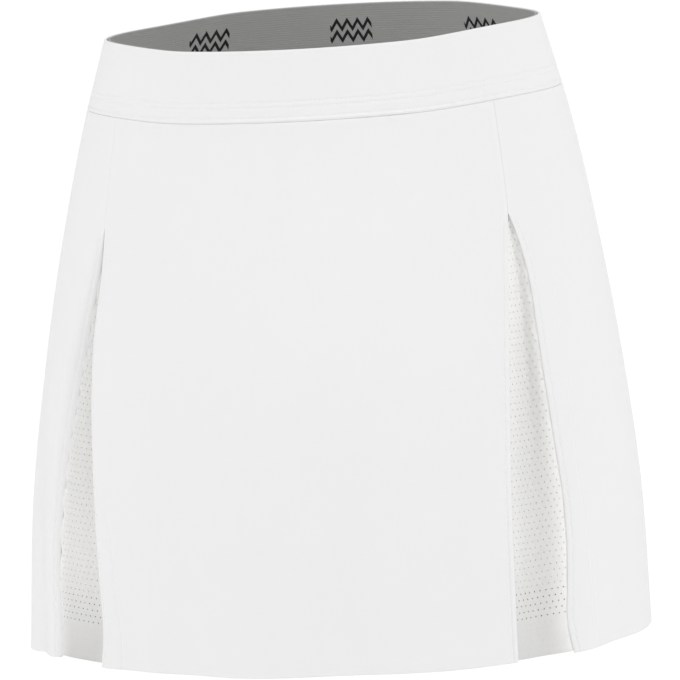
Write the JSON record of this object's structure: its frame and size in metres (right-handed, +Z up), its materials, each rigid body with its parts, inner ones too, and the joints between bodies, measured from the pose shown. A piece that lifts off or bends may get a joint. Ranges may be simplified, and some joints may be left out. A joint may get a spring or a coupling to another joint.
{
  "type": "tennis skirt",
  "caption": "White tennis skirt in its worn form: elastic waistband, plain panels and a perforated mesh inset behind an open pleat at each side of the front.",
  "frame": {"origin": "on the wearer's body axis at the middle of the waistband's height, where the waist holds the skirt up", "axes": "+Z up the body, -Y the way the front faces, +X towards the wearer's left"},
  "size_m": [0.3924, 0.2793, 0.3905],
  "materials": {
    "white_jersey": "matt white double-knit polyester and elastane",
    "white_mesh": "matt white knit with small punched-look holes",
    "grey_elastic": "matt grey woven elastic with a black repeat"
  },
  "bodies": {
    "root": {"waistband": "white_jersey", "waistband_elastic": "grey_elastic", "front_panel": "white_jersey", "side_panel_left": "white_jersey", "side_panel_right": "white_jersey", "back_panel": "white_jersey", "mesh_inset_left": "white_mesh", "mesh_inset_right": "white_mesh"}
  },
  "joints": []
}
